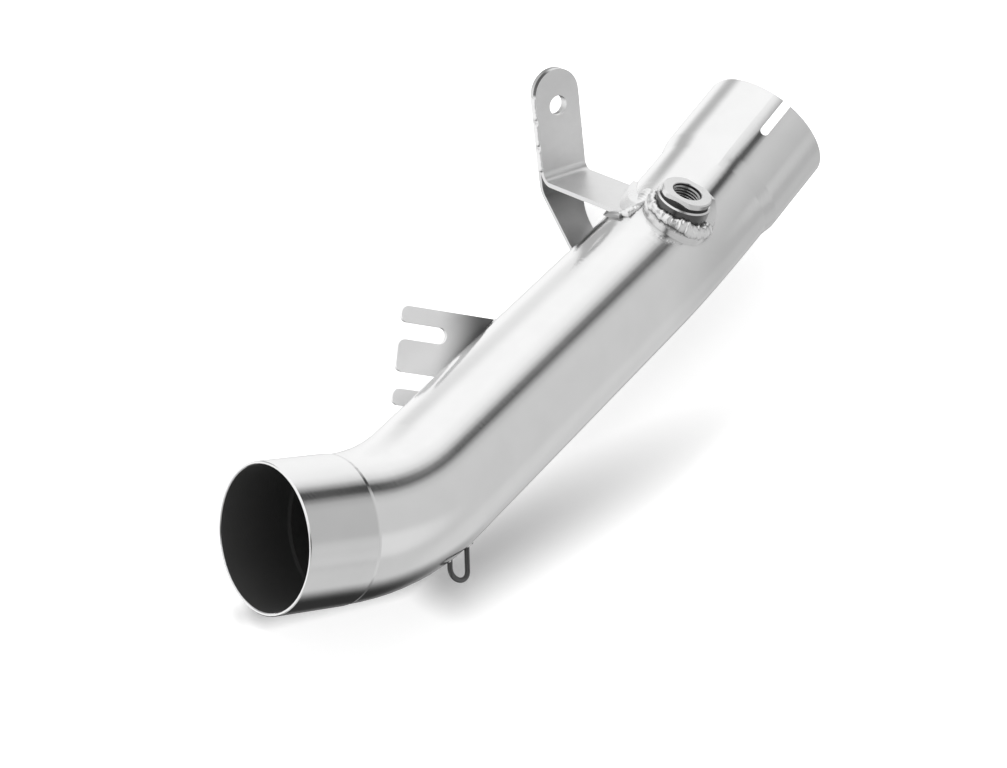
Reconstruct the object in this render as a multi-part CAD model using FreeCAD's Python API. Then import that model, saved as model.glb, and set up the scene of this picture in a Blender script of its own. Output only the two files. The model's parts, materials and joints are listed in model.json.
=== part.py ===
import FreeCAD, Part
import math
import os

from FreeCAD import Placement, Rotation, Vector

# Motorcycle decat pipe: a bent steel tube with a sized inlet and a slotted outlet socket,
# a sensor boss with its screwed adapter, a hanger of two strips, a forked bracket and a
# spring hook. Everything is first built in a frame that starts in the middle of the inlet's
# mouth, with X along the inlet and Z towards the middle of the first bend. At the end all
# solids are turned and lowered together, so that the part lies on the plane Z = 0.
# Lengths are in millimetres and angles in degrees.

# Tube
pipe_od = 54.0
pipe_wall = 1.2
inlet_od = 54.6
inlet_length = 29.5
inlet_step_length = 1.5
bend_1_radius = 94.0
bend_1_angle = 29.0
straight_length = 151.0
bend_twist = 62.0
bend_2_radius = 160.0
bend_2_angle = 22.0
tail_length = 1.5
rim_chamfer = 0.3

# Outlet socket, which slips over a pipe of the same size as this one
socket_clearance = 0.3
socket_cone_length = 6.0
socket_length = 34.0
socket_slot_width = 3.8
socket_slot_length = 18.6
socket_slot_angle = 13.6
socket_slot_count = 2

# Sensor boss on the second bend, leaning towards the outlet
boss_distance = 27.0
boss_angle = 1.0
boss_lean = 20.7
boss_side_lean = -6.0
boss_od = 22.8
boss_height = 5.7
boss_thread = 18.0
boss_chamfer = 0.6
boss_root_depth = 10.0

# Adapter screwed into the boss, and the washer under its flange
adapter_fit = 0.1
adapter_flange_od = 21.2
adapter_flange_thickness = 2.1
adapter_flat_width = 18.0
adapter_flat_angle = -86.7
adapter_neck_od = 16.4
adapter_neck_length = 2.2
adapter_shank_below_neck = 7.0
adapter_thread = 12.0
adapter_chamfer = 0.5
adapter_lead_in = 0.4
washer_od = 19.6
washer_thickness = 1.4

# Hanger: two strips back to back at the tab, apart below it. Its foot is the corner where
# the tab meets the shelf, placed along and round the end of the straight.
strip_width = 21.5
strip_thickness = 2.0
tab_length = 46.6
tab_hole_d = 8.5
tab_hole_from_top = 15.8
shelf_bend_radius = 3.8
shelf_reach = 54.6
brace_corner_below_shelf = 5.0
brace_bend_radius = 7.0
brace_bend_angle = 40.5
brace_leg = 29.0
brace_end_bend_angle = 20.0
brace_end_leg = 33.0
brace_waist_width = 14.0
brace_waist_radius = 27.0
brace_waist_distance = 20.0
hanger_foot_along = 29.3
hanger_foot_around = 33.75
hanger_foot_above = 33.7
hanger_yaw = 105.6
hanger_pitch = 57.9
hanger_roll = -144.0

# Tacks that join the two strips along the tab's edges
tack_width = 3.4
tack_height = 0.7
tack_length = 10.2
tack_first = 9.8
tack_pitch = 11.4
tack_count = 3

# Forked bracket, welded to the far side of the straight
fork_thickness = 2.0
fork_reach = 43.1
fork_root = 3.0
finger_width = 6.5
finger_corner_radius = 3.1
fork_slot_width = 6.5
fork_slot_depth = 20.9
middle_finger_width = 12.7
fork_along = 89.8
fork_around = 24.4
fork_yaw = 171.4
fork_pitch = -42.4
fork_roll = -103.4

# Wire hook under the first bend
hook_distance = 42.6
hook_wire_d = 2.0
hook_width = 8.0
hook_drop = 11.4
hook_tilt = 42.2
hook_root = 8.0

# Welds: how far each stands off the tube and off the piece that it holds
boss_weld_height = 2.6
boss_weld_reach = 3.2
strip_weld_height = 1.6
fork_weld_height = 1.4
hook_weld_height = 1.2
hook_weld_reach = 1.6

# Attitude in which the part lies on a flat surface: turned about X, then about Y, then
# about the vertical
rest_roll = -72.46
rest_pitch = 9.82
rest_yaw = -23.43

# Radii and levels that follow from the sizes above
pipe_radius = pipe_od / 2
inlet_radius = inlet_od / 2
socket_radius = pipe_radius + socket_clearance / 2 + pipe_wall
boss_radius = boss_od / 2
boss_bore_radius = boss_thread / 2
shank_radius = boss_bore_radius - adapter_fit
flange_underside = boss_height + washer_thickness
flange_top = flange_underside + adapter_flange_thickness
neck_bottom = flange_underside - adapter_neck_length
shank_bottom = neck_bottom - adapter_shank_below_neck
fork_height = 2 * finger_width + 2 * fork_slot_width + middle_finger_width

X_AXIS = Vector(1, 0, 0)
Y_AXIS = Vector(0, 1, 0)
Z_AXIS = Vector(0, 0, 1)
ORIGIN = Vector(0, 0, 0)


def shifted(frame, x=0.0, y=0.0, z=0.0):
    """The frame moved along its own axes."""
    return frame * Placement(Vector(x, y, z), Rotation())


def turned(frame, axis, angle):
    """The frame turned about one of its own axes."""
    return frame * Placement(ORIGIN, Rotation(axis, angle))


def round_tube(along, around, distance):
    """A place at a distance from the tube's axis: along it, then turned round it from Z."""
    a = math.radians(around)
    return Vector(along, distance * math.sin(a), distance * math.cos(a))


def past_bend(frame, radius, angle):
    """The frame at the end of a bend towards its own Z."""
    a = math.radians(angle)
    shift = Vector(radius * math.sin(a), 0, radius * (1 - math.cos(a)))
    return frame * Placement(shift, Rotation(Y_AXIS, -angle))


def placed(shape, frame):
    """The shape carried from the frame's own axes into the part's."""
    moved = shape.copy()
    moved.Placement = frame * moved.Placement
    return moved


def box(x0, x1, y0, y1, z0, z1):
    return Part.makeBox(x1 - x0, y1 - y0, z1 - z0, Vector(x0, y0, z0))


def fused(shapes):
    return shapes[0].multiFuse(shapes[1:]).removeSplitter()


def arc_angle(length, radius):
    """The turn, in degrees, that an arc of this length makes."""
    return math.degrees(length / radius)


# Frames along the tube
inlet_frame = Placement()
step_frame = shifted(inlet_frame, inlet_length)
bend_1_frame = shifted(step_frame, inlet_step_length)
straight_frame = past_bend(bend_1_frame, bend_1_radius, bend_1_angle)
straight_end_frame = shifted(straight_frame, straight_length)
bend_2_frame = turned(straight_end_frame, X_AXIS, bend_twist)
tail_frame = past_bend(bend_2_frame, bend_2_radius, bend_2_angle)
cone_frame = shifted(tail_frame, tail_length)
socket_frame = shifted(cone_frame, socket_cone_length)
outlet_frame = shifted(socket_frame, socket_length)

# Frames of what the tube carries
boss_station = past_bend(bend_2_frame, bend_2_radius, arc_angle(boss_distance, bend_2_radius))
boss_frame = shifted(turned(boss_station, X_AXIS, boss_angle), z=pipe_radius)
boss_frame = turned(turned(boss_frame, X_AXIS, boss_side_lean), Y_AXIS, boss_lean)
hanger_foot = round_tube(hanger_foot_along, hanger_foot_around, pipe_radius + hanger_foot_above)
hanger_turn = Rotation(hanger_yaw, hanger_pitch, hanger_roll)
hanger_frame = shifted(straight_end_frame * Placement(hanger_foot, hanger_turn), -tab_length)
fork_place = round_tube(fork_along, fork_around, pipe_radius)
fork_turn = Rotation(fork_yaw, fork_pitch, fork_roll)
fork_frame = straight_frame * Placement(fork_place, fork_turn)
hook_station = past_bend(bend_1_frame, bend_1_radius, arc_angle(hook_distance, bend_1_radius))
hook_frame = turned(shifted(hook_station, z=-pipe_radius), Y_AXIS, hook_tilt)


def straight_run(frame, length, radius):
    return placed(Part.makeCylinder(radius, length, ORIGIN, X_AXIS), frame)


def tapered_run(frame, length, radius_0, radius_1):
    return placed(Part.makeCone(radius_0, radius_1, length, ORIGIN, X_AXIS), frame)


def bent_run(frame, bend_radius, angle, radius):
    disc = Part.Face(Part.Wire(Part.makeCircle(radius, ORIGIN, X_AXIS)))
    solid = disc.revolve(Vector(0, 0, bend_radius), -Y_AXIS, angle)
    return placed(solid, frame)


def tube_run(growth):
    """A solid along the whole tube, with every outside radius larger by growth."""
    inlet_r = inlet_radius + growth
    pipe_r = pipe_radius + growth
    socket_r = socket_radius + growth
    return fused([
        straight_run(inlet_frame, inlet_length, inlet_r),
        tapered_run(step_frame, inlet_step_length, inlet_r, pipe_r),
        bent_run(bend_1_frame, bend_1_radius, bend_1_angle, pipe_r),
        straight_run(straight_frame, straight_length, pipe_r),
        bent_run(bend_2_frame, bend_2_radius, bend_2_angle, pipe_r),
        straight_run(tail_frame, tail_length, pipe_r),
        tapered_run(cone_frame, socket_cone_length, pipe_r, socket_r),
        straight_run(socket_frame, socket_length, socket_r),
    ])


def rim_edges(shape):
    """The round edges of both mouths."""
    mouths = (inlet_frame.Base, outlet_frame.Base)
    edges = []
    for edge in shape.Edges:
        if isinstance(edge.Curve, Part.Circle):
            if min(edge.Curve.Center.distanceToPoint(m) for m in mouths) < rim_chamfer / 10:
                edges.append(edge)
    return edges


def socket_slot(angle):
    """The cutter for one slot: open at the mouth, with a round inner end."""
    half = socket_slot_width / 2
    inner = socket_slot_length - half
    depth = socket_radius + 1
    cutter = fused([
        box(-inner, 1, -half, half, 0, depth),
        Part.makeCylinder(half, depth, Vector(-inner, 0, 0), Z_AXIS),
    ])
    return placed(cutter, turned(outlet_frame, X_AXIS, angle))


def make_pipe_tube(outside):
    tube = outside.cut(tube_run(-pipe_wall))
    tube = tube.makeChamfer(rim_chamfer, rim_edges(tube))
    for index in range(socket_slot_count):
        angle = socket_slot_angle + index * 360.0 / socket_slot_count
        tube = tube.cut(socket_slot(angle))
    port = Part.makeCylinder(boss_bore_radius, 2 * boss_root_depth, Vector(0, 0, -boss_root_depth), Z_AXIS)
    return tube.cut(placed(port, boss_frame))


def revolved(profile):
    """A closed outline of radius and height points, turned about Z."""
    points = [Vector(radius, 0, height) for radius, height in profile]
    face = Part.Face(Part.makePolygon(points + points[:1]))
    return face.revolve(ORIGIN, Z_AXIS, 360)


def make_sensor_boss(outside):
    ring = revolved([
        (boss_bore_radius, -boss_root_depth),
        (boss_radius, -boss_root_depth),
        (boss_radius, boss_height - boss_chamfer),
        (boss_radius - boss_chamfer, boss_height),
        (boss_bore_radius, boss_height),
    ])
    return placed(ring, boss_frame).cut(outside)


def make_boss_weld(outside):
    reach = boss_radius + boss_weld_reach
    length = boss_root_depth + boss_height
    collar = Part.makeCylinder(reach, length, Vector(0, 0, -boss_root_depth), Z_AXIS)
    core = Part.makeCylinder(boss_radius, length, Vector(0, 0, -boss_root_depth), Z_AXIS)
    collar = placed(collar.cut(core), boss_frame)
    return collar.common(tube_run(boss_weld_height)).cut(outside)


def make_sensor_adapter():
    bore = adapter_thread / 2
    flange = adapter_flange_od / 2
    neck = adapter_neck_od / 2
    body = revolved([
        (bore, shank_bottom),
        (shank_radius - adapter_chamfer, shank_bottom),
        (shank_radius, shank_bottom + adapter_chamfer),
        (shank_radius, neck_bottom),
        (neck, neck_bottom),
        (neck, flange_underside),
        (flange, flange_underside),
        (flange, flange_top - adapter_chamfer),
        (flange - adapter_chamfer, flange_top),
        (bore + adapter_lead_in, flange_top),
        (bore, flange_top - adapter_lead_in),
    ])
    side = box(-flange, flange, adapter_flat_width / 2, flange + 1, flange_underside, flange_top)
    for angle in (0, 180):
        body = body.cut(placed(side, turned(Placement(), Z_AXIS, adapter_flat_angle + angle)))
    return placed(body, boss_frame)


def make_adapter_washer():
    inner = adapter_neck_od / 2 + adapter_fit
    outer = washer_od / 2
    ring = revolved([
        (inner, boss_height),
        (outer, boss_height),
        (outer, flange_underside),
        (inner, flange_underside),
    ])
    return placed(ring, boss_frame)


def folded_strip(frame, width, back, thickness, steps):
    """A flat strip that runs along X and folds towards Z.

    back is how far its front face lies behind the frame. A step is (length,) for a flat
    leg, or (inner radius, angle) for a fold.
    """
    pieces = []
    for step in steps:
        if len(step) == 1:
            pieces.append(placed(box(0, step[0], 0, width, -back - thickness, -back), frame))
            frame = shifted(frame, step[0])
        else:
            inner, angle = step
            section = Part.makePolygon([
                Vector(0, 0, -back), Vector(0, width, -back),
                Vector(0, width, -back - thickness), Vector(0, 0, -back - thickness),
                Vector(0, 0, -back),
            ])
            fold = Part.Face(section).revolve(Vector(0, 0, inner - back), -Y_AXIS, angle)
            pieces.append(placed(fold, frame))
            frame = past_bend(frame, inner - back, angle)
    return fused(pieces)


def tab_trim():
    """What is cut from both strips at the tab: its round end and its hole."""
    radius = strip_width / 2
    deep = 3 * strip_thickness
    corner = box(0, radius, 0, strip_width, -deep, strip_thickness)
    disc = Part.makeCylinder(radius, deep + strip_thickness, Vector(radius, radius, -deep), Z_AXIS)
    hole = Part.makeCylinder(
        tab_hole_d / 2, deep + strip_thickness, Vector(tab_hole_from_top, radius, -deep), Z_AXIS)
    return placed(corner.cut(disc).fuse(hole), hanger_frame)


def make_hanger_strip(outside):
    strip = folded_strip(hanger_frame, strip_width, 0, strip_thickness, [
        (tab_length - shelf_bend_radius,),
        (shelf_bend_radius, 90.0),
        (shelf_reach - shelf_bend_radius,),
    ])
    return strip.cut(tab_trim()).cut(outside)


def brace_corner_inset():
    """The distance from the brace's sharp corner to where its fold starts."""
    return brace_bend_radius * math.tan(math.radians(brace_bend_angle / 2))


def brace_straight():
    return tab_length + brace_corner_below_shelf - brace_corner_inset()


def waist_cutter():
    """What narrows the brace below its fold: a round flank that runs into a straight one."""
    frame = shifted(hanger_frame, brace_straight(), z=-strip_thickness)
    frame = shifted(past_bend(frame, brace_bend_radius, brace_bend_angle), -brace_corner_inset())
    deep = shelf_reach / 2
    far = brace_waist_distance + brace_leg + brace_end_leg
    middle = Vector(brace_waist_distance, brace_waist_width + brace_waist_radius, -deep)
    flank = Part.makeCylinder(brace_waist_radius, 2 * deep, middle, Z_AXIS)
    side = box(brace_waist_distance, far, brace_waist_width, strip_width + 1, -deep, deep)
    return placed(flank.fuse(side), frame)


def make_hanger_brace(outside):
    brace = folded_strip(hanger_frame, strip_width, strip_thickness, strip_thickness, [
        (brace_straight(),),
        (brace_bend_radius, brace_bend_angle),
        (brace_leg - brace_corner_inset(),),
        (brace_bend_radius, brace_end_bend_angle),
        (brace_end_leg,),
    ])
    return brace.cut(tab_trim()).cut(waist_cutter()).cut(outside)


def make_tacks(strips, edge, outward):
    """Low beads along one edge of the tab, over the joint between the strips."""
    radius = tack_width ** 2 / (8 * tack_height) + tack_height / 2
    middle = edge - outward * (radius - tack_height)
    y0, y1 = sorted((edge - outward * tack_height, edge + outward * tack_height))
    tacks = []
    for index in range(tack_count):
        start = tack_first + index * tack_pitch
        bead = Part.makeCylinder(radius, tack_length, Vector(start, middle, -strip_thickness), X_AXIS)
        bead = bead.common(box(start, start + tack_length, y0, y1, -2 * strip_thickness, 0))
        tacks.append(placed(bead, hanger_frame).cut(strips))
    return Part.makeCompound(tacks)


def weld_round(piece, grown, height, outside):
    """A bead on the tube round a piece, inside the grown outline of that piece."""
    return grown.common(tube_run(height)).cut(outside).cut(piece)


def make_shelf_weld(strip, outside):
    h = strip_weld_height
    frame = turned(shifted(hanger_frame, tab_length), Y_AXIS, -90.0)
    grown = box(strip_width / 2, shelf_reach + h, -h, strip_width + h, -strip_thickness - h, h)
    return weld_round(strip, placed(grown, frame), h, outside)


def make_brace_weld(brace, outside):
    h = strip_weld_height
    frame = shifted(hanger_frame, brace_straight(), z=-strip_thickness)
    frame = past_bend(frame, brace_bend_radius, brace_bend_angle)
    frame = shifted(frame, brace_leg - brace_corner_inset())
    frame = past_bend(frame, brace_bend_radius, brace_end_bend_angle)
    grown = box(0, brace_end_leg, -h, brace_waist_width + h, -strip_thickness - h, h)
    return weld_round(brace, placed(grown, frame), h, outside)


def make_fork_bracket(outside):
    plate = box(-fork_root, fork_reach, 0, fork_height, -fork_thickness, 0)
    half = fork_slot_width / 2
    inner = fork_reach - fork_slot_depth + half
    for top in (finger_width, finger_width + fork_slot_width + middle_finger_width):
        slot = fused([
            box(inner, fork_reach + 1, top, top + fork_slot_width, -fork_thickness, 0),
            Part.makeCylinder(half, fork_thickness, Vector(inner, top + half, -fork_thickness), Z_AXIS),
        ])
        plate = plate.cut(slot)
    corners = []
    for edge in plate.Edges:
        middle = edge.CenterOfMass
        if abs(middle.x - fork_reach) < 0.01 and abs(middle.z + fork_thickness / 2) < 0.01:
            if abs(edge.Length - fork_thickness) < 0.01:
                corners.append(edge)
    plate = plate.makeFillet(finger_corner_radius, corners)
    return placed(plate, fork_frame).cut(outside)


def make_fork_weld(bracket, outside):
    h = fork_weld_height
    grown = box(-fork_root, fork_reach, -h, fork_height + h, -fork_thickness - h, h)
    return weld_round(bracket, placed(grown, fork_frame), h, outside)


def hook_leg(side, radius):
    """A round bar along one leg of the hook, up into the tube."""
    bend = hook_width / 2
    middle = -(hook_drop - hook_wire_d / 2 - bend)
    return Part.makeCylinder(radius, hook_root - middle, Vector(side * bend, 0, middle), Z_AXIS)


def make_spring_hook(outside):
    wire = hook_wire_d / 2
    bend = hook_width / 2
    middle = -(hook_drop - wire - bend)
    disc = Part.Face(Part.Wire(Part.makeCircle(wire, Vector(bend, 0, middle), Z_AXIS)))
    bottom = disc.revolve(Vector(0, 0, middle), Y_AXIS, 180)
    hook = fused([hook_leg(-1, wire), bottom, hook_leg(1, wire)])
    return placed(hook, hook_frame).cut(outside)


def make_hook_weld(hook, side, outside):
    grown = placed(hook_leg(side, hook_wire_d / 2 + hook_weld_reach), hook_frame)
    return weld_round(hook, grown, hook_weld_height, outside)


def make_all():
    """Every piece of the part, in the frame of the inlet."""
    outside = tube_run(0)
    strip = make_hanger_strip(outside)
    brace = make_hanger_brace(outside)
    strips = strip.fuse(brace)
    boss = make_sensor_boss(outside)
    boss_weld = make_boss_weld(outside).cut(strip)
    shelf_weld = make_shelf_weld(strip, outside).cut(boss).cut(boss_weld)
    bracket = make_fork_bracket(outside)
    hook = make_spring_hook(outside)
    return {
        "pipe_tube": make_pipe_tube(outside),
        "sensor_boss": boss,
        "boss_weld": boss_weld,
        "sensor_adapter": make_sensor_adapter(),
        "adapter_washer": make_adapter_washer(),
        "hanger_strip": strip,
        "hanger_brace": brace,
        "tab_tacks_left": make_tacks(strips, 0, -1),
        "tab_tacks_right": make_tacks(strips, strip_width, 1),
        "shelf_weld": shelf_weld,
        "brace_weld": make_brace_weld(brace, outside),
        "fork_bracket": bracket,
        "fork_weld": make_fork_weld(bracket, outside),
        "spring_hook": hook,
        "hook_weld_front": make_hook_weld(hook, -1, outside),
        "hook_weld_rear": make_hook_weld(hook, 1, outside),
    }


def rest_frame(shapes):
    """The turn and shift that lay the part on Z = 0, with the middle of its box over 0, 0."""
    turn = Rotation(Z_AXIS, rest_yaw) * Rotation(Y_AXIS, rest_pitch) * Rotation(X_AXIS, rest_roll)
    lying = placed(Part.makeCompound(shapes), Placement(ORIGIN, turn))
    bounds = lying.optimalBoundingBox(False, False)
    shift = Vector(-bounds.Center.x, -bounds.Center.y, -bounds.ZMin)
    return Placement(shift, turn)


pieces = make_all()
rest = rest_frame(list(pieces.values()))
os.makedirs("parts", exist_ok=True)
for name, shape in pieces.items():
    placed(shape, rest).exportStep("parts/" + name + ".step")
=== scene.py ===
import json
import math

import bmesh
import bpy
from mathutils import Matrix, Vector, noise
from mathutils.bvhtree import BVHTree


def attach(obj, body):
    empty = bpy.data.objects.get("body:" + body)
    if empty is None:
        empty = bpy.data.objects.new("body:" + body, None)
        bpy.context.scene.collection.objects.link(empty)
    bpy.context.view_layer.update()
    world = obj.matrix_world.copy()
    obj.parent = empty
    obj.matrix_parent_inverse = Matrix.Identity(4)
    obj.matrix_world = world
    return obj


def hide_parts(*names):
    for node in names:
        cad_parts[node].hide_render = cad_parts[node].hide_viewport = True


# Motorcycle decat pipe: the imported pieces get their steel, the welds get their ripples and
# the sensor port gets its thread. Lengths are in metres. A step is four numbers: where it
# starts, where it ends, and its value at the start and at the end.

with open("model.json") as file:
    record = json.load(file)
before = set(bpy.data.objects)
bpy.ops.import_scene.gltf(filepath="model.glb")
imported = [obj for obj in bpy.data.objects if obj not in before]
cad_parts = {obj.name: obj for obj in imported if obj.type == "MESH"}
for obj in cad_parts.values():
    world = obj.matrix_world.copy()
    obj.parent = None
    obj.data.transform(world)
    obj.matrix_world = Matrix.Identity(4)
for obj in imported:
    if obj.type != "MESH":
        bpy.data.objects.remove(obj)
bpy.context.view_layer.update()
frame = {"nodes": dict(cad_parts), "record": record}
nodes = frame["nodes"]
mounts = {m["name"]: m for m in frame["record"]["mounts"]}

MM = 0.001
TO_OUTLET = Vector((1, 0, 0))
TO_FORK_SIDE = Vector((0, 1, 0))
UP = Vector((0, 0, 1))

# The camera stands where the photo's did, turned about its own line of sight
CAMERA_PLACE = Vector((-0.659598, -0.171046, 0.746253))
CAMERA_TARGET = Vector((-0.004820, -0.017358, 0.006221))
CAMERA_ROLL = math.radians(33.574)
CAMERA_LENS_MM = 90.03
SENSOR_WIDTH_MM = 36.0

# The studio, as light against direction: a bright side where the fork is and a dimmer side,
# with a dark gap between them overhead
GAP_NORMAL = Vector((0.1080, -0.9929, -0.0494))
STUDIO_RAMP = [
    (-1.0, 1.04), (-0.45, 1.05), (-0.30, 0.97), (-0.19, 0.80), (-0.10, 0.40), (-0.04, 0.07),
    (0.05, 0.07), (0.12, 0.34), (0.20, 0.58), (0.32, 0.65), (0.7, 0.64), (1.0, 0.62),
]
# A dull band at the bright side's horizon: its lower and upper edge by the rise, and its
# strength by the way to the fork's side and to the outlet
BAND_LOWER_EDGE = (-0.50, -0.18, 0.0, 1.0)
BAND_UPPER_EDGE = (-0.05, 0.28, 1.0, 0.0)
BAND_TO_FORK_SIDE = (0.50, 0.90, 0.0, 0.50)
BAND_TO_OUTLET = (0.45, 0.62, 1.0, 0.45)
# The dark floor under the part
UNDERSIDE = Vector((0.10, -0.35, -0.93))
UNDERSIDE_EDGE = (0.77, 0.96, 1.0, 0.05)
# Small lamps by their way and soft edge: one in the gap and two low ones on the dimmer side
SMALL_LAMPS = [
    (Vector((0.70, 0.09, 0.71)), (0.990, 0.9995, 0.0, 0.15)),
    (Vector((0.36, -0.90, 0.22)), (0.95, 0.994, 0.0, 0.15)),
    (Vector((0.60, -0.70, -0.40)), (0.95, 0.994, 0.0, 0.05)),
]
KEY_PLACE = Vector((-0.40, 1.05, 0.90))
KEY_SIZE = 0.45
KEY_POWER = 10.0

# The floor glows for the camera, less where it keeps the lamp's shadow: a faint one all over, and
# painted lobes given by from, to, how wide, and how strong at each end
FLOOR_SIZE = 6.0
FLOOR_WHITE = 0.9
FLOOR_GLOW = 0.68
GLOW_LOST_IN_SHADOW = 0.62
FAINT_SHADOW = 0.22
SHADOW_LOBES = [
    ((-0.088, -0.060), (0.190, -0.108), 0.030, 1.0, 0.0),
    ((-0.165, -0.022), (-0.085, -0.057), 0.013, 1.0, 1.0),
]

# Axes of the pieces: along the strip's tab downwards, across it, and out of its face; the
# fork outwards from the tube, across its fingers, and out of its face; the spring hook from
# its foot across its legs and up; the tube's straight, the inlet and the sensor boss
TAB_TOP = Vector((0.093477, 0.067863, 0.048338))
TAB_DOWN = Vector((-0.10212, -0.62958, -0.77020))
TAB_ACROSS = Vector((0.93891, -0.31680, 0.13448))
TAB_OUT = Vector((-0.32867, -0.70941, 0.62347))
FORK_ROOT = Vector((0.000809, 0.000089, 0.025261))
FORK_REACH = Vector((-0.77566, 0.61742, 0.13094))
FORK_ACROSS = Vector((-0.57492, -0.60558, -0.55022))
FORK_OUT = Vector((-0.26043, -0.50206, 0.82469))
HOOK_FOOT = Vector((-0.091454, -0.058794, 0.018634))
HOOK_WIDE = Vector((0.74888, -0.61505, -0.24677))
HOOK_UP = Vector((0.66206, 0.71085, 0.23744))
STRAIGHT_AXIS = Vector((0.99742, 0.07157, -0.00520))
INLET_PLACE = Vector((-0.161076, -0.013258, 0.037348))
INLET_AXIS = Vector((0.90410, -0.39180, -0.17055))
BOSS_PLACE = Vector((0.085964, -0.017240, 0.055557))
BOSS_AXIS = Vector((0.18093, 0.22999, 0.95623))
BOSS_EAST = Vector((0.98188, 0.01343, -0.18901))
BOSS_LEFT = Vector((-0.95, 0.10, 0.16))
FLANGE_FLAT = Vector((0.1124, -0.9715, 0.2083))
PAST_DARK_LINE = Vector((0.3, -0.9, 0.3))

TAB_LENGTH = 46.6 * MM
STRIP_WIDTH = 21.5 * MM
STRIP_THICKNESS = 2.0 * MM
FORK_HEIGHT = 38.7 * MM
HOOK_HALF_WIDTH = 4.0 * MM
BOSS_RADIUS = 11.4 * MM

# Steps of tone, by place along an axis or by how much the surface faces one (-1 to 1)
# All of these but the strip's darker cut edge are painted shade
SIDEWAYS = (0.3, 0.6, 1.0, 0.0)
OUTLET_SHADE_REACH = (0.045, 0.095, 0.0, 0.22)
OUTLET_SHADE_RIGHT = (0.15, 0.85, 0.0, 1.0)
STUB_SHADE_REACH = (0.0290, 0.0305, 0.20, 0.0)
STUB_SHADE_UPPER = (0.45, 0.70, 0.0, 1.0)
STUB_SHADE_PAST_LINE = (0.25, 0.45, 0.0, 1.0)
FLAT_SHADE = (0.78, 0.94, 1.0, 0.40)
PORT_WALL_SHADE = (0.00605, 0.00625, 0.22, 1.0)
BOSS_WALL_SHADE = (-0.6, 0.5, 0.42, 0.85)
TAB_UPPER_END = (0.0085, 0.0100, 0.80, 0.0)
TAB_LEFT_HALF = (0.006, 0.010, 1.0, 0.0)
BRACE_SHADE_NEAR_FOLD = (0.050, 0.068, 0.55, 0.0)
FORK_ROOT_SHADE = (0.006, 0.028, 0.13, 1.0)
SHADE_BELOW_SHELF = (0.0466, 0.0482, 1.0, 0.40)
# The clouds that mottle each steel, and the dull inner wall, darker partly by its oxide and partly by
# painted shade
CLOUD_RANGE = (0.3, 0.7)
INSIDE_REACH = 0.09
INSIDE_RANGE = (0.70, 0.88)
INSIDE_ROUGHNESS = 0.55

# The boss weld by its angle round the boss: how high its middle is, half its height and half
# its width, in millimetres
BOSS_WELD = [
    (0, 4.9, 0.6, 1.0), (30, 4.1, 0.8, 1.2), (60, 1.6, 1.6, 1.6), (90, 0.2, 2.2, 1.9),
    (120, 0.2, 2.3, 1.9), (150, 0.4, 2.3, 1.9), (180, 0.3, 2.3, 1.9), (210, 0.0, 2.5, 1.9),
    (240, -2.4, 3.2, 2.6), (265, -3.2, 3.2, 3.0), (285, -2.6, 2.8, 3.0), (305, -0.8, 2.0, 2.4),
    (330, 2.7, 1.2, 1.5), (360, 4.9, 0.6, 1.0),
]
# Half the width and half the height of the plain beads
FORK_BEAD = (1.6 * MM, 1.1 * MM)
BRACE_BEAD = (1.9 * MM, 1.3 * MM)
TACK_BEAD = (1.85 * MM, 0.75 * MM)
TACK_COUNT = 3
TACK_FIRST = 9.6 * MM
TACK_PITCH = 11.4 * MM
TACK_LENGTH = 10.9 * MM

# The thread's ridge: its pitch, how high it stands, how deep its foot sits in the wall, how
# much shorter than the port it is, and half its width at the foot and at the crest
THREAD_PITCH = 1.25 * MM
THREAD_DEPTH = 0.62 * MM
THREAD_SUNK = 0.02 * MM
THREAD_SHORTER = 1.2 * MM
THREAD_FOOT = 0.56 * MM
THREAD_CREST = 0.08 * MM


def new_material(name):
    """An empty material, with its nodes and links."""
    material = bpy.data.materials.new(name)
    material.use_nodes = True
    material.node_tree.nodes.clear()
    return material, material.node_tree.nodes, material.node_tree.links


def add(tree_nodes, kind, **values):
    """A shader node with its properties set, and its inputs by name."""
    node = tree_nodes.new(kind)
    for name, value in values.pop("inputs", {}).items():
        node.inputs[name].default_value = value
    for name, value in values.items():
        setattr(node, name, value)
    return node


def grey(value):
    """A grey as red, green, blue and alpha."""
    return (value, value, value, 1.0)


def math_node(n, l, operation, *operands):
    """A maths node of linked outputs and numbers. Returns its output."""
    node = add(n, "ShaderNodeMath", operation=operation)
    for socket, operand in zip(node.inputs, operands):
        if isinstance(operand, (int, float)):
            socket.default_value = operand
        else:
            l.new(operand, socket)
    return node.outputs["Value"]


def along(n, l, vector, axis):
    """How far a linked vector reaches along an axis."""
    node = add(n, "ShaderNodeVectorMath", operation="DOT_PRODUCT")
    l.new(vector, node.inputs[0])
    node.inputs[1].default_value = axis
    return node.outputs["Value"]


def smooth(n, l, value, start, end, low, high):
    """A soft step of a linked value, from low at start to high at end."""
    node = add(n, "ShaderNodeMapRange", interpolation_type="SMOOTHSTEP", inputs={
        "From Min": start, "From Max": end, "To Min": low, "To Max": high})
    l.new(value, node.inputs["Value"])
    return node.outputs["Result"]


def diagonal(n, l, first, second):
    """The length across two linked lengths at a right angle."""
    squares = [math_node(n, l, "MULTIPLY", length, length) for length in (first, second)]
    return math_node(n, l, "SQRT", math_node(n, l, "ADD", *squares))


def mixed(n, l, factor, first, second):
    """A blend from a linked first value to a constant second one. Returns its output."""
    node = add(n, "ShaderNodeMix", data_type="FLOAT")
    sockets = {socket.identifier: socket for socket in node.inputs}
    l.new(factor, sockets["Factor_Float"])
    l.new(first, sockets["A_Float"])
    sockets["B_Float"].default_value = second
    return next(socket for socket in node.outputs if socket.identifier == "Result_Float")


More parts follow.
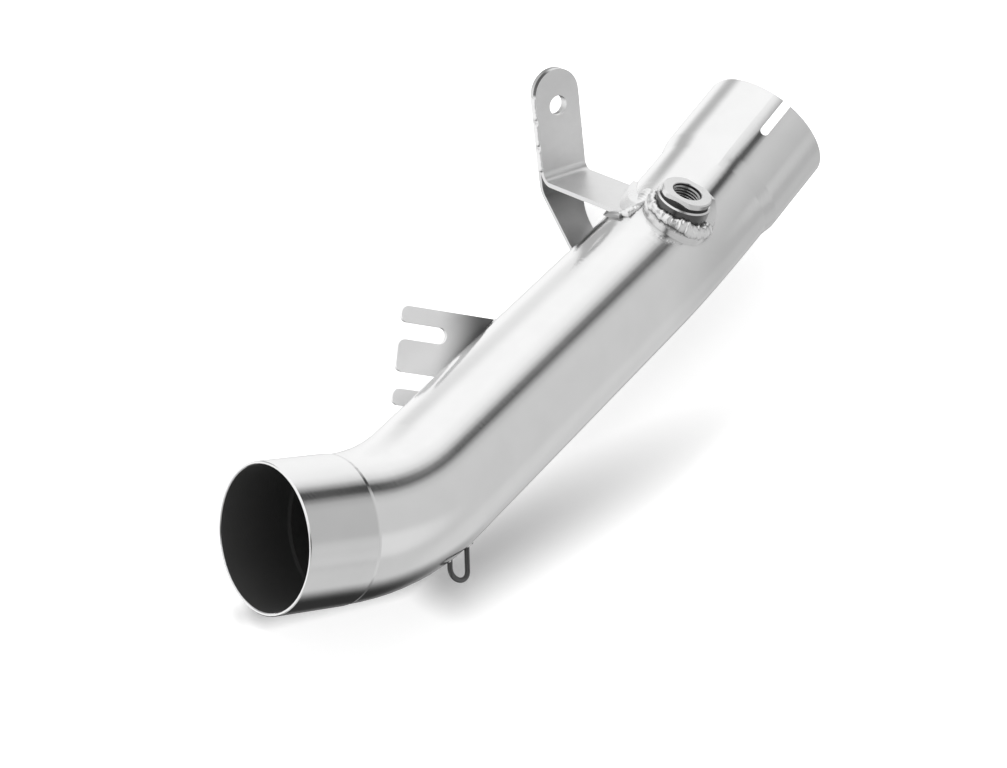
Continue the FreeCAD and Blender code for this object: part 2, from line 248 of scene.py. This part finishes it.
def scaled_place(n, l, axes, scales):
    """The object's own coordinates along three axes, each multiplied by its own factor."""
    place = add(n, "ShaderNodeTexCoord").outputs["Object"]
    join = add(n, "ShaderNodeCombineXYZ")
    for axis, scale, socket in zip(axes, scales, join.inputs):
        l.new(math_node(n, l, "MULTIPLY", along(n, l, place, axis), scale), socket)
    return join.outputs["Vector"]


def square_axes(first, hint):
    """Three square axes that start with the first one."""
    first = first.normalized()
    third = first.cross(hint).normalized()
    return first, third.cross(first), third


class Steel:
    """A satin steel that is put together step by step."""

    def __init__(self, name, colour, roughness, mottle=0.03, metallic=1.0):
        self.material, self.n, self.l = new_material(name)
        n, l = self.n, self.l
        out = add(n, "ShaderNodeOutputMaterial")
        self.bsdf = add(n, "ShaderNodeBsdfPrincipled", inputs={"Metallic": metallic})
        l.new(self.bsdf.outputs["BSDF"], out.inputs["Surface"])
        noise_node = add(n, "ShaderNodeTexNoise",
                         inputs={"Scale": 70.0, "Detail": 4.0, "Roughness": 0.6})
        l.new(add(n, "ShaderNodeTexCoord").outputs["Object"], noise_node.inputs["Vector"])
        cloud = noise_node.outputs["Fac"]
        self.tone = smooth(n, l, cloud, *CLOUD_RANGE, colour - mottle, colour + mottle)
        self.rough = smooth(n, l, cloud, *CLOUD_RANGE, roughness * 0.9, roughness * 1.1)
        self.height = None

    def grain(self, axes, scales, depth):
        """Fine scratches as relief."""
        scratch = add(self.n, "ShaderNodeTexNoise",
                      inputs={"Scale": 1.0, "Detail": 3.0, "Roughness": 0.6})
        self.l.new(scaled_place(self.n, self.l, axes, scales), scratch.inputs["Vector"])
        bump = add(self.n, "ShaderNodeBump", inputs={"Strength": 1.0, "Distance": depth})
        self.l.new(scratch.outputs["Fac"], bump.inputs["Height"])
        self.height = bump.outputs["Normal"]
        return self

    def hidden(self, reach, start, end, only_own=False):
        """How much the surface is hemmed in, from 0 to 1."""
        cover = add(self.n, "ShaderNodeAmbientOcclusion", samples=8, only_local=only_own,
                    inputs={"Distance": reach})
        return smooth(self.n, self.l, cover.outputs["AO"], start, end, 1.0, 0.0)

    def shade_corners(self, reach, start, end, tone):
        """A darker tone where the surface is hemmed in."""
        self.tone = mixed(self.n, self.l, self.hidden(reach, start, end), self.tone, tone)
        return self

    def dull_shaded_inside(self, tone):
        """A dull inner wall, darker partly by its oxide and partly by painted shade."""
        inside = self.hidden(INSIDE_REACH, *INSIDE_RANGE, only_own=True)
        self.tone = mixed(self.n, self.l, inside, self.tone, tone)
        self.rough = mixed(self.n, self.l, inside, self.rough, INSIDE_ROUGHNESS)
        return self

    def place(self, origin, axis):
        """How far the surface lies from a point along an axis."""
        spot = add(self.n, "ShaderNodeTexCoord").outputs["Object"]
        return math_node(self.n, self.l, "SUBTRACT", along(self.n, self.l, spot, axis), origin.dot(axis))

    def by_place(self, origin, axis, step):
        """A step by the place along an axis."""
        return smooth(self.n, self.l, self.place(origin, axis), *step)

    def by_radius(self, origin, axis, step):
        """A step by the distance from an axis."""
        sides = [self.place(origin, way) for way in square_axes(axis, STRAIGHT_AXIS)[1:]]
        return smooth(self.n, self.l, diagonal(self.n, self.l, *sides), *step)

    def by_facing(self, axis, step, either_way=False):
        """A step by how much the surface faces an axis, or its line if either way counts."""
        facing = along(self.n, self.l, add(self.n, "ShaderNodeNewGeometry").outputs["Normal"], axis)
        if either_way:
            facing = math_node(self.n, self.l, "ABSOLUTE", facing)
        return smooth(self.n, self.l, facing, *step)

    def darken(self, factor):
        """The tone multiplied by a linked factor."""
        self.tone = math_node(self.n, self.l, "MULTIPLY", self.tone, factor)
        return self

    def take_off(self, *shares):
        """The tone less the product of linked shares of it."""
        share = shares[0]
        for other in shares[1:]:
            share = math_node(self.n, self.l, "MULTIPLY", share, other)
        return self.darken(math_node(self.n, self.l, "SUBTRACT", 1.0, share))

    def done(self):
        """The finished material."""
        tint = add(self.n, "ShaderNodeCombineColor")
        for channel in ("Red", "Green", "Blue"):
            self.l.new(self.tone, tint.inputs[channel])
        self.l.new(tint.outputs["Color"], self.bsdf.inputs["Base Color"])
        self.l.new(self.rough, self.bsdf.inputs["Roughness"])
        if self.height is not None:
            self.l.new(self.height, self.bsdf.inputs["Normal"])
        return self.material


def tube_steel():
    """Grain round the tube, painted shade on its right side at the outlet and in a band on the inlet's
    stub, and a dull, darker inside, partly its oxide and partly painted shade."""
    steel = Steel("tube_steel", colour=0.88, roughness=0.13, mottle=0.012)
    steel.grain(square_axes(STRAIGHT_AXIS, UP), scales=(1300, 140, 140), depth=0.000035)
    # Painted shade on the right side towards the outlet
    steel.take_off(steel.by_place(Vector(), TO_OUTLET, OUTLET_SHADE_REACH),
                   steel.by_facing(-TO_FORK_SIDE, OUTLET_SHADE_RIGHT))
    # Painted shade in a band on the upper side of the inlet's stub, past its dark line
    steel.take_off(steel.by_place(INLET_PLACE, INLET_AXIS, STUB_SHADE_REACH),
                   steel.by_facing(UP, STUB_SHADE_UPPER),
                   steel.by_facing(PAST_DARK_LINE.normalized(), STUB_SHADE_PAST_LINE))
    steel.shade_corners(reach=0.006, start=0.45, end=0.85, tone=0.30)
    return steel.dull_shaded_inside(tone=0.28).done()


def fillet_steel():
    """The smooth weld collar of the boss, with the tube's grain."""
    steel = Steel("fillet_steel", colour=0.78, roughness=0.22, mottle=0.03)
    return steel.grain(square_axes(STRAIGHT_AXIS, UP), scales=(900, 200, 200), depth=0.00005).done()


def turned_steel():
    """The adapter, with painted shade in its corners, on the flat of its flange and on the wall of its
    port.
    """
    steel = Steel("turned_steel", colour=0.78, roughness=0.24)
    steel.shade_corners(reach=0.005, start=0.30, end=0.80, tone=0.12)
    steel.darken(steel.by_facing(FLANGE_FLAT, FLAT_SHADE))
    return steel.darken(steel.by_radius(BOSS_PLACE, BOSS_AXIS, PORT_WALL_SHADE)).done()


def boss_steel():
    """The boss, with painted shade on its wall, most of all on its left."""
    steel = Steel("boss_steel", colour=0.80, roughness=0.24)
    steel.take_off(steel.by_facing(BOSS_AXIS, SIDEWAYS),
                   steel.by_facing(BOSS_LEFT.normalized(), BOSS_WALL_SHADE))
    return steel.done()


def strip_steel():
    """Brushed across the strip, with a darker cut edge at the tab's upper left."""
    steel = Steel("strip_steel", colour=0.80, roughness=0.40)
    steel.grain((TAB_DOWN, TAB_ACROSS, TAB_OUT), scales=(900, 40, 40), depth=0.000012)
    steel.take_off(steel.by_place(TAB_TOP, TAB_DOWN, TAB_UPPER_END),
                   steel.by_place(TAB_TOP, TAB_ACROSS, TAB_LEFT_HALF),
                   steel.by_facing(TAB_OUT, SIDEWAYS, either_way=True))
    return steel.done()


def brace_steel():
    """Brushed like the strip, with painted shade on its broad faces near the fold."""
    steel = Steel("brace_steel", colour=0.72, roughness=0.34)
    steel.grain((TAB_DOWN, TAB_ACROSS, TAB_OUT), scales=(900, 40, 40), depth=0.000012)
    steel.take_off(steel.by_place(TAB_TOP, TAB_DOWN, BRACE_SHADE_NEAR_FOLD),
                   steel.by_facing(TAB_ACROSS, SIDEWAYS, either_way=True))
    return steel.done()


def fork_steel():
    """A pale, matt plate, with painted shade darkening it towards its root at the tube."""
    steel = Steel("fork_steel", colour=0.97, roughness=0.40, mottle=0.01, metallic=0.42)
    steel.grain((FORK_REACH, FORK_ACROSS, FORK_OUT), scales=(60, 700, 60), depth=0.000008)
    return steel.darken(steel.by_place(FORK_ROOT, FORK_REACH, FORK_ROOT_SHADE)).done()


def shelf_weld_steel():
    """The shelf's weld, with painted shade where it hangs below the shelf."""
    steel = Steel("shelf_weld_steel", colour=0.86, roughness=0.28)
    return steel.darken(steel.by_place(TAB_TOP, TAB_DOWN, SHADE_BELOW_SHELF)).done()


def shadow_lobe(n, l, start, end, width, first, last):
    """How much of the lamp's shadow the floor keeps round a line from start to end: a painted lobe."""
    spot = add(n, "ShaderNodeTexCoord").outputs["Object"]
    begin = Vector((*start, 0))
    run = Vector((*end, 0)) - begin
    way = run.normalized()
    side = Vector((-way.y, way.x, 0))
    gone = math_node(n, l, "SUBTRACT", along(n, l, spot, way), begin.dot(way))
    off = math_node(n, l, "SUBTRACT", along(n, l, spot, side), begin.dot(side))
    kept = add(n, "ShaderNodeClamp", inputs={"Min": 0.0, "Max": run.length})
    l.new(gone, kept.inputs["Value"])
    past = math_node(n, l, "SUBTRACT", gone, kept.outputs["Result"])
    near = smooth(n, l, diagonal(n, l, past, off), 0.0, width, 1.0, 0.0)
    return math_node(n, l, "MULTIPLY", near, smooth(n, l, gone, 0.0, run.length, first, last))


def make_floor():
    """A white floor that stays out of reflections; its glow dims in painted lobes to show soft shadows.
    """
    half = FLOOR_SIZE / 2
    mesh = bpy.data.meshes.new("floor")
    corners = [(-half, -half, 0), (half, -half, 0), (half, half, 0), (-half, half, 0)]
    mesh.from_pydata(corners, [], [(0, 1, 2, 3)])
    floor = bpy.data.objects.new("floor", mesh)
    bpy.context.scene.collection.objects.link(floor)
    floor.visible_glossy = False
    material, n, l = new_material("floor_white")
    out = add(n, "ShaderNodeOutputMaterial")
    matte = add(n, "ShaderNodeBsdfDiffuse", inputs={"Color": grey(FLOOR_WHITE)})
    glow = add(n, "ShaderNodeEmission", inputs={"Color": grey(1.0)})
    shade = FAINT_SHADOW
    for lobe in SHADOW_LOBES:
        shade = math_node(n, l, "MAXIMUM", shadow_lobe(n, l, *lobe), shade)
    lost = math_node(n, l, "MULTIPLY", shade, GLOW_LOST_IN_SHADOW)
    left = math_node(n, l, "SUBTRACT", FLOOR_GLOW, lost)
    seen = add(n, "ShaderNodeLightPath").outputs["Is Camera Ray"]
    l.new(math_node(n, l, "MULTIPLY", left, seen), glow.inputs["Strength"])
    both = add(n, "ShaderNodeAddShader")
    l.new(matte.outputs["BSDF"], both.inputs[0])
    l.new(glow.outputs["Emission"], both.inputs[1])
    l.new(both.outputs["Shader"], out.inputs["Surface"])
    floor.data.materials.append(material)


def gap_light(n, l, way):
    """The studio's light by the way across its gap."""
    unit = add(n, "ShaderNodeMapRange", inputs={"From Min": -1.0, "From Max": 1.0})
    l.new(along(n, l, way, GAP_NORMAL), unit.inputs["Value"])
    ramp = add(n, "ShaderNodeValToRGB")
    ramp.color_ramp.interpolation = "EASE"
    elements = ramp.color_ramp.elements
    while len(elements) < len(STUDIO_RAMP):
        elements.new(0.5)
    for element, (place, light) in zip(elements, STUDIO_RAMP):
        element.position = (place + 1) / 2
        element.color = grey(light)
    l.new(unit.outputs["Result"], ramp.inputs["Fac"])
    base = add(n, "ShaderNodeSeparateColor")
    l.new(ramp.outputs["Color"], base.inputs["Color"])
    return base.outputs["Red"]


def make_world():
    """A studio for light and reflections, and plain white for the camera."""
    world = bpy.data.worlds.new("studio")
    world.use_nodes = True
    n, l = world.node_tree.nodes, world.node_tree.links
    n.clear()
    out = add(n, "ShaderNodeOutputWorld")
    way = add(n, "ShaderNodeTexCoord").outputs["Generated"]

    rise = along(n, l, way, UP)
    below = smooth(n, l, rise, *BAND_LOWER_EDGE)
    above = smooth(n, l, rise, *BAND_UPPER_EDGE)
    side = smooth(n, l, along(n, l, way, TO_FORK_SIDE), *BAND_TO_FORK_SIDE)
    outer = smooth(n, l, along(n, l, way, TO_OUTLET), *BAND_TO_OUTLET)
    height = math_node(n, l, "MULTIPLY", below, above)
    band = math_node(n, l, "MULTIPLY", height, math_node(n, l, "MULTIPLY", side, outer))
    light = math_node(n, l, "MULTIPLY", gap_light(n, l, way), math_node(n, l, "SUBTRACT", 1.0, band))
    for lamp_way, edge in SMALL_LAMPS:
        lamp = smooth(n, l, along(n, l, way, lamp_way.normalized()), *edge)
        light = math_node(n, l, "ADD", light, lamp)
    under = smooth(n, l, along(n, l, way, UNDERSIDE.normalized()), *UNDERSIDE_EDGE)
    light = math_node(n, l, "MULTIPLY", light, under)

    studio = add(n, "ShaderNodeBackground", inputs={"Color": grey(1.0)})
    l.new(light, studio.inputs["Strength"])
    white = add(n, "ShaderNodeBackground", inputs={"Color": grey(1.0)})
    seen = add(n, "ShaderNodeLightPath")
    pick = add(n, "ShaderNodeMixShader")
    l.new(seen.outputs["Is Camera Ray"], pick.inputs["Fac"])
    l.new(studio.outputs["Background"], pick.inputs[1])
    l.new(white.outputs["Background"], pick.inputs[2])
    l.new(pick.outputs["Shader"], out.inputs["Surface"])
    bpy.context.scene.world = world


def make_key_light():
    """A soft lamp on the fork's side, so the shadow falls on the other."""
    lamp = bpy.data.lights.new("key", "AREA")
    lamp.shape = "DISK"
    lamp.size = KEY_SIZE
    lamp.energy = KEY_POWER
    key = bpy.data.objects.new("key", lamp)
    key.location = KEY_PLACE
    key.rotation_mode = "QUATERNION"
    key.rotation_quaternion = (-KEY_PLACE).to_track_quat("-Z", "Y")
    key.visible_glossy = False
    key.visible_camera = False
    bpy.context.scene.collection.objects.link(key)


def make_camera():
    """The photo's camera."""
    data = bpy.data.cameras.new("camera")
    data.lens = CAMERA_LENS_MM
    data.sensor_width = SENSOR_WIDTH_MM
    data.clip_start = 0.01
    camera = bpy.data.objects.new("camera", data)
    camera.location = CAMERA_PLACE
    camera.rotation_mode = "QUATERNION"
    level = (CAMERA_TARGET - CAMERA_PLACE).to_track_quat("-Z", "Y").to_matrix()
    camera.rotation_quaternion = (level @ Matrix.Rotation(CAMERA_ROLL, 3, "Z")).to_quaternion()
    bpy.context.scene.collection.objects.link(camera)
    bpy.context.scene.camera = camera


def paint(node_name, material):
    """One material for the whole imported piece."""
    mesh = nodes[node_name].data
    mesh.materials.clear()
    mesh.materials.append(material)


def tree_of(node_name):
    """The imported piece's surface, to cast rays at."""
    mesh = nodes[node_name].data
    corners = [v.co.copy() for v in mesh.vertices]
    return BVHTree.FromPolygons(corners, [tuple(p.vertices) for p in mesh.polygons])


def cast(tree, origin, direction, reach):
    """Where a ray meets the surface, or None."""
    return tree.ray_cast(origin, direction, reach)[0]


def ripples(distance, pitch, seed):
    """The bead's swell at a distance along it: steep in front, drawn out behind."""
    wander = 0.35 * noise.noise(Vector((distance / pitch * 0.5, seed, 0.0)))
    turn = (distance / pitch + wander) % 1.0
    return math.sin(math.pi * turn ** 0.65)


def resampled(stations, step):
    """Stations of (place, side, up, width, height) at even steps along their path."""
    out = [stations[0]]
    rest = 0.0
    for first, second in zip(stations, stations[1:]):
        length = (second[0] - first[0]).length
        if length < 1e-9:
            continue
        walked = step - rest
        while walked <= length:
            t = walked / length
            place = first[0].lerp(second[0], t)
            side = first[1].lerp(second[1], t).normalized()
            up = first[2].lerp(second[2], t).normalized()
            width = first[3] + (second[3] - first[3]) * t
            height = first[4] + (second[4] - first[4]) * t
            out.append((place, side, up, width, height))
            walked += step
        rest = (rest + length) % step
    return out


def skin(shape, rings, closed=False):
    """Faces between the rings, and one at each end unless the last ring meets the first."""
    around = len(rings[0])
    following = rings[1:] + rings[:1] if closed else rings[1:]
    for first, second in zip(rings, following):
        for k in range(around):
            after = (k + 1) % around
            shape.faces.new((first[k], first[after], second[after], second[k]))
    if not closed:
        shape.faces.new(tuple(reversed(rings[0])))
        shape.faces.new(tuple(rings[-1]))
    bmesh.ops.recalc_face_normals(shape, faces=shape.faces)


def object_of(name, shape, material):
    """The finished shape as an object in the scene."""
    mesh = bpy.data.meshes.new(name)
    shape.to_mesh(mesh)
    shape.free()
    mesh.materials.append(material)
    piece = bpy.data.objects.new(name, mesh)
    bpy.context.scene.collection.objects.link(piece)
    return piece


def make_bead(name, stations, node_names, material, pitch, swell, rough, seed, closed=False):
    """A weld bead: an oval swept along the stations, with ripples and lumps.

    A station is its place, the two directions of the oval, and its half width and height.
    """
    step = 0.22 * MM
    around = 18
    lump_length = 3.1 * MM
    pit_length = 0.9 * MM
    stations = resampled(stations, step)
    last = len(stations) - 1
    shape = bmesh.new()
    rings = []
    for index, (place, side, up, width, height) in enumerate(stations):
        distance = index * step
        wave = 1.0 + swell * (ripples(distance, pitch, seed) - 0.55)
        lump = 1.0 + 2.2 * rough * noise.noise(Vector((distance / lump_length, seed * 3.7, 1.3)))
        end = 1.0
        if not closed:
            near = min(index, last - index) * step / max(width, height)
            end = math.sqrt(max(0.02, 1 - (1 - min(near, 1.0)) ** 2))
        ring = []
        for k in range(around):
            angle = 2 * math.pi * k / around
            way = side * (math.cos(angle) * width) + up * (math.sin(angle) * height)
            pit = 1.0 + rough * noise.noise((place + way) / pit_length + Vector((seed, 0, 0)))
            ring.append(shape.verts.new(place + way * (wave * lump * end * pit)))
        rings.append(ring)
    skin(shape, rings, closed)
    for face in shape.faces:
        face.smooth = True
    bead = object_of(name, shape, material)
    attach(bead, "root")
    if node_names:
        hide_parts(*node_names)


def weld_values(angle):
    """The boss weld's values at an angle, between the typed ones."""
    for first, second in zip(BOSS_WELD, BOSS_WELD[1:]):
        if first[0] <= angle <= second[0]:
            break
    t = (angle - first[0]) / (second[0] - first[0])
    t = t * t * (3 - 2 * t)
    return [(one + (two - one) * t) * MM for one, two in zip(first[1:], second[1:])]


def make_boss_weld(bead):
    """A lumpy bead round the sensor boss, on top of its smooth weld collar."""
    north = BOSS_AXIS.cross(BOSS_EAST)
    stations = []
    for turn in range(0, 361, 2):
        out = BOSS_EAST * math.cos(math.radians(turn)) + north * math.sin(math.radians(turn))
        middle, height, width = weld_values(turn % 360)
        place = BOSS_PLACE + out * (BOSS_RADIUS + 0.35 * width) + BOSS_AXIS * middle
        stations.append((place, out, BOSS_AXIS, width, height))
    make_bead("boss_weld_bead", stations, [], bead, pitch=3.1 * MM, swell=0.13, rough=0.2, seed=4.0,
              closed=True)


def make_shelf_weld(tree, bead):
    """Broad flat ripples on the shelf's weld, down to its near corner.

    Its line slants over the shelf's end, on the shelf or where the tube stands higher. The bead
    sinks, narrows and thickens towards the near corner.
    """
    count = 24
    stations = []
    for index in range(count + 1):
        t = index / count
        across = (19.0 - 17.5 * t) * MM
        reach = (50.2 + 6.6 * t) * MM
        sunk = (0.15 + 1.1 * t * t) * MM
        width = (3.4 - 0.9 * t * t) * MM
        height = (1.1 + 1.2 * t * t) * MM
        line = TAB_ACROSS * across + TAB_OUT * reach
        met = cast(tree, TAB_TOP + TAB_DOWN * 30 * MM + line, TAB_DOWN, 80 * MM)
        depth = TAB_LENGTH
        if met is not None:
            depth = min(depth, (met - TAB_TOP).dot(TAB_DOWN))
        place = TAB_TOP + TAB_DOWN * (depth + sunk) + line
        stations.append((place, TAB_OUT, -TAB_DOWN, width, height))
    corner = TAB_TOP + TAB_DOWN * (TAB_LENGTH + 0.8 * MM) - TAB_ACROSS * 0.6 * MM + TAB_OUT * 54.8 * MM
    stations.append((corner, TAB_OUT, -TAB_DOWN, 1.2 * MM, 1.2 * MM))
    make_bead("shelf_weld_bead", stations, [], bead, pitch=1.5 * MM, swell=0.10, rough=0.12, seed=7.0)


def make_fork_weld(tree, bead):
    """The bead along the fork's root on its front face."""
    count = 30
    stations = []
    for index in range(count + 1):
        across = -0.6 * MM + (FORK_HEIGHT + 1.0 * MM) * index / count
        start = FORK_ROOT + FORK_REACH * 34 * MM + FORK_ACROSS * across + FORK_OUT * 0.4 * MM
        met = cast(tree, start, -FORK_REACH, 60 * MM)
        if met is not None:
            stations.append((met + FORK_REACH * 0.2 * MM, FORK_REACH, FORK_OUT, *FORK_BEAD))
    make_bead("fork_weld_bead", stations, ["fork_weld"], bead, pitch=1.5 * MM, swell=0.25, rough=0.15,
              seed=11.0)


def make_brace_weld(tree, bead):
    """The bead across the brace's end, on its outer face."""
    count = 24
    points = [v.co.copy() for v in nodes["brace_weld"].data.vertices]
    middle = sum(points, Vector()) / len(points)
    spread = max(points, key=lambda p: (p - middle).length) - middle
    way = spread.normalized()
    low = min((p - middle).dot(way) for p in points)
    high = max((p - middle).dot(way) for p in points)
    stations = []
    for index in range(count + 1):
        guess = middle + way * (low + (high - low) * index / count)
        place, normal, _, _ = tree.find_nearest(guess)
        side = way.cross(normal).normalized()
        stations.append((place + normal * 0.3 * MM, side, normal, *BRACE_BEAD))
    make_bead("brace_weld_bead", stations, ["brace_weld"], bead, pitch=1.6 * MM, swell=0.35, rough=0.2,
              seed=13.0)


def make_hook_weld(tree, side, run, node_name, bead, seed):
    """A small bead at one leg of the hook, drawn out along the tube."""
    count = 8
    before = 1.6 * MM
    foot = HOOK_FOOT + HOOK_WIDE * side * HOOK_HALF_WIDTH
    middle = cast(tree, foot - HOOK_UP * 8 * MM, HOOK_UP, 30 * MM)
    stations = []
    for index in range(count + 1):
        t = index / count
        guess = middle + STRAIGHT_AXIS * (-before + (before + run) * t)
        place, up, _, _ = tree.find_nearest(guess)
        across = up.cross(STRAIGHT_AXIS).normalized()
        width = (1.5 - 0.5 * t) * MM
        stations.append((place + up * 0.1 * MM, across, up, width, width * 0.75))
    make_bead("hook_bead_" + node_name.rsplit("_", 1)[1], stations, [node_name], bead,
              pitch=1.3 * MM, swell=0.3, rough=0.25, seed=seed)


def make_tacks(name, node_name, edge, outward, bead):
    """Low rippled beads along one edge of the tab, nearly end to end."""
    count = 10
    line = TAB_TOP + TAB_ACROSS * (edge - outward * 0.1 * MM) - TAB_OUT * STRIP_THICKNESS
    for index in range(TACK_COUNT):
        first = TACK_FIRST + index * TACK_PITCH
        stations = []
        for k in range(count + 1):
            place = line + TAB_DOWN * (first + TACK_LENGTH * k / count)
            stations.append((place, TAB_OUT, TAB_ACROSS * outward, *TACK_BEAD))
        make_bead("%s_%d" % (name, index + 1), stations, [node_name], bead, pitch=2.6 * MM,
                  swell=0.06, rough=0.10, seed=20.0 + index + edge * 900)


def make_thread(material):
    """The sensor port's thread: one helical ridge inside the bore."""
    port = mounts["sensor_port"]
    axis = Vector(port["axis"])
    middle = Vector(port["pos_m"])
    root = port["dims"]["r_mm"] * MM + THREAD_SUNK
    length = port["dims"]["length_mm"] * MM - THREAD_SHORTER
    _, east, north = square_axes(axis, Vector((1, 0, 0)))
    per_turn = 48
    count = int(length / THREAD_PITCH * per_turn)
    profile = (
        (0.0, -THREAD_FOOT), (THREAD_DEPTH, -THREAD_CREST), (THREAD_DEPTH, THREAD_CREST),
        (0.0, THREAD_FOOT),
    )
    shape = bmesh.new()
    rings = []
    for index in range(count + 1):
        angle = 2 * math.pi * index / per_turn
        out = east * math.cos(angle) + north * math.sin(angle)
        level = -length / 2 + THREAD_PITCH * index / per_turn
        fade = min(1.0, 0.1 + min(index, count - index) / (0.3 * per_turn))
        ring = []
        for height, lift in profile:
            place = middle + out * (root - height * fade) + axis * (level + lift * fade)
            ring.append(shape.verts.new(place))
        rings.append(ring)
    skin(shape, rings)
    thread = object_of("port_thread", shape, material)
    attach(thread, "root")


paint("pipe_tube", tube_steel())
paint("sensor_boss", boss_steel())
paint("boss_weld", fillet_steel())
paint("shelf_weld", shelf_weld_steel())
paint("sensor_adapter", turned_steel())
paint("hanger_strip", strip_steel())
paint("hanger_brace", brace_steel())
paint("fork_bracket", fork_steel())
# The washer sits in the groove under the flange; its near-black tone is painted shade
paint("adapter_washer", Steel("washer_steel", colour=0.06, roughness=0.4, mottle=0.01).done())
paint("spring_hook", Steel("wire_steel", colour=0.13, roughness=0.3).done())

bead_steel = Steel("weld_bead", colour=0.88, roughness=0.30)
bead_steel = bead_steel.shade_corners(reach=0.0025, start=0.30, end=0.75, tone=0.30).done()
tube_tree = tree_of("pipe_tube")
make_boss_weld(bead_steel)
make_shelf_weld(tube_tree, bead_steel)
make_brace_weld(tube_tree, bead_steel)
make_fork_weld(tube_tree, bead_steel)
make_hook_weld(tube_tree, -1, 0.8 * MM, "hook_weld_front", bead_steel, seed=31.0)
make_hook_weld(tube_tree, 1, 4.5 * MM, "hook_weld_rear", bead_steel, seed=33.0)
make_tacks("tack_left", "tab_tacks_left", 0.0, -1, bead_steel)
make_tacks("tack_right", "tab_tacks_right", STRIP_WIDTH, 1, bead_steel)
# The thread's steel is darker than the adapter's: painted shade in the bore
make_thread(Steel("port_steel_shaded", colour=0.40, roughness=0.25).done())

make_floor()
make_world()
make_key_light()
make_camera()
bpy.context.scene.view_settings.view_transform = "Standard"
